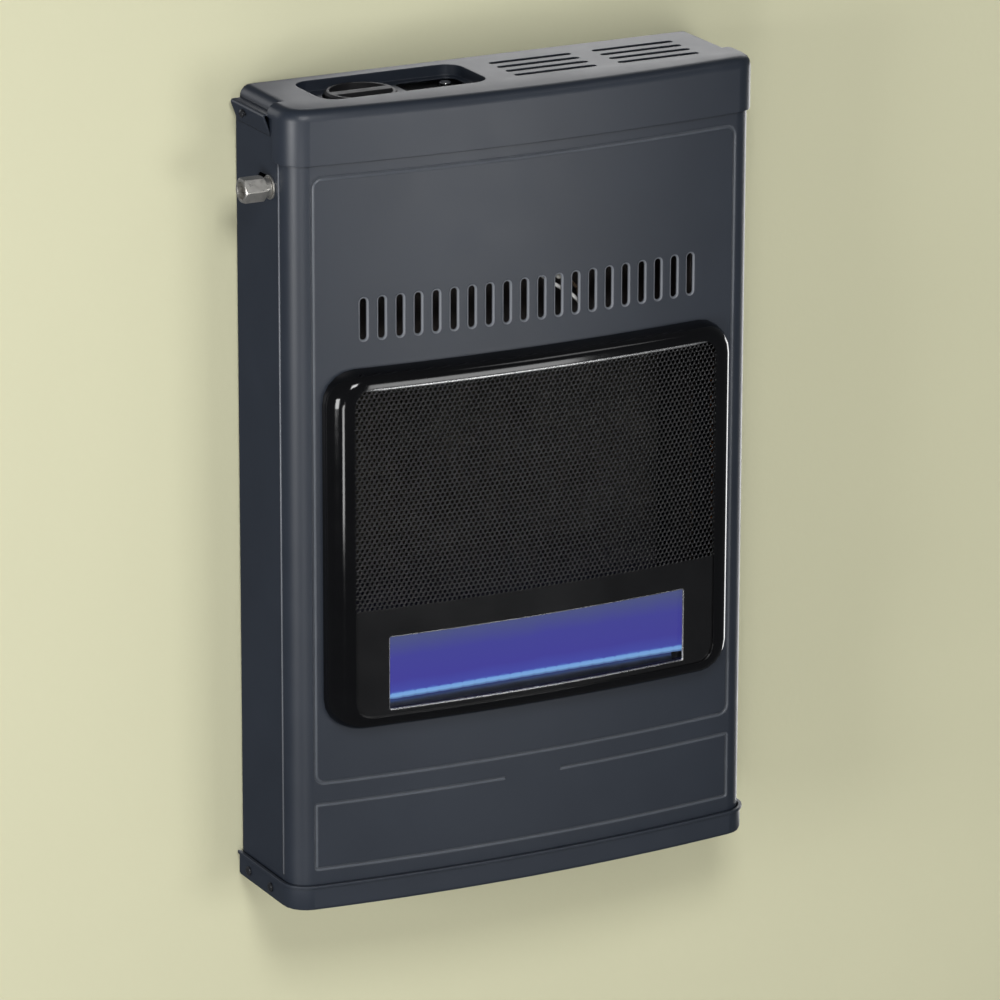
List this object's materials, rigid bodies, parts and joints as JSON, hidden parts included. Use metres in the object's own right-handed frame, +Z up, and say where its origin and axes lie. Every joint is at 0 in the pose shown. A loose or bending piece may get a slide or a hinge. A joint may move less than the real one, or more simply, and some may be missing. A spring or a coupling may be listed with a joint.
{
  "type": "wall mounted gas heater",
  "caption": "Tall wall hung gas heater: bowed steel case, black enamelled front with fine mesh and flame window, control knob and louvres in the top cap, gas inlet at the side.",
  "frame": {"origin": "middle of the casing's back, on the wall plane", "axes": "+X to the right as seen from the room, -Y out of the wall towards the room, +Z up"},
  "size_m": [0.4329, 0.126, 0.64],
  "materials": {
    "casing_paint": "satin anthracite powder coat",
    "black_enamel": "gloss black vitreous enamel",
    "plain_steel": "zinc coated sheet",
    "zinc": "dull zinc plated fitting",
    "brass": "machined brass",
    "copper": "drawn copper tube",
    "valve_alloy": "die cast aluminium alloy",
    "black_plastic": "moulded black plastic",
    "flame": "blue gas flame seen through the glass",
    "glass": "clear heat resisting glass",
    "fibre": "pressed ceramic fibre board",
    "white_ceramic": "glazed white insulator",
    "lead_sleeve": "pale silicone sleeve",
    "bright_steel": "bright plated steel"
  },
  "bodies": {
    "casing": {"left_side_panel": "casing_paint", "right_side_panel": "casing_paint", "front_panel": "casing_paint", "top_cover": "casing_paint", "bottom_tray": "casing_paint", "enamelled_frame": "black_enamel", "perforated_plate": "black_enamel", "back_panel": "plain_steel", "glass_rail_upper": "plain_steel", "glass_rail_lower": "plain_steel", "firebox": "plain_steel", "heat_hood": "plain_steel", "firebox_bracket_left": "plain_steel", "firebox_bracket_right": "plain_steel", "burner_bar": "plain_steel", "burner_foot_left": "plain_steel", "burner_foot_right": "plain_steel", "mixing_tube": "plain_steel", "injector_bracket": "plain_steel", "valve_bracket": "plain_steel", "pilot_plate": "plain_steel", "inlet_nipple": "zinc", "inlet_hex": "zinc", "inlet_collar": "zinc", "inlet_washer": "zinc", "inlet_locknut": "zinc", "injector": "brass", "magnet_unit": "brass", "pilot_burner": "brass", "burner_pipe": "copper", "pilot_pipe": "copper", "inlet_pipe": "copper", "thermocouple": "copper", "valve_body": "valve_alloy", "igniter_body": "black_plastic", "window_glass": "glass", "fibre_board": "fibre", "spark_electrode": "white_ceramic", "ignition_lead": "lead_sleeve", "igniter_ring": "bright_steel", "tray_screw_left_rear": "bright_steel", "tray_screw_left_front": "bright_steel", "tray_screw_right_rear": "bright_steel", "tray_screw_right_front": "bright_steel", "cap_screw_left": "bright_steel", "cap_screw_right": "bright_steel"},
    "rotor": {"valve_rotor": "brass"},
    "knob": {"control_knob": "black_plastic", "knob_spindle": "plain_steel"},
    "push_button": {"igniter_button": "bright_steel"}
  },
  "joints": [
    {"name": "knob_turn", "type": "hinge", "parent": "casing", "child": "rotor", "pos_m": [-0.114, -0.042, 0.27], "axis": [0, 0, 1], "range_deg": [0, 180]},
    {"name": "knob_press", "type": "slide", "parent": "rotor", "child": "knob", "axis": [0, 0, -1], "range_m": [0, 0.005], "stiffness_N_per_m": 500, "springref_m": -0.008},
    {"name": "igniter_press", "type": "slide", "parent": "casing", "child": "push_button", "axis": [0, 0, -1], "range_m": [0, 0.005], "stiffness_N_per_m": 600, "springref_m": -0.008}
  ]
}
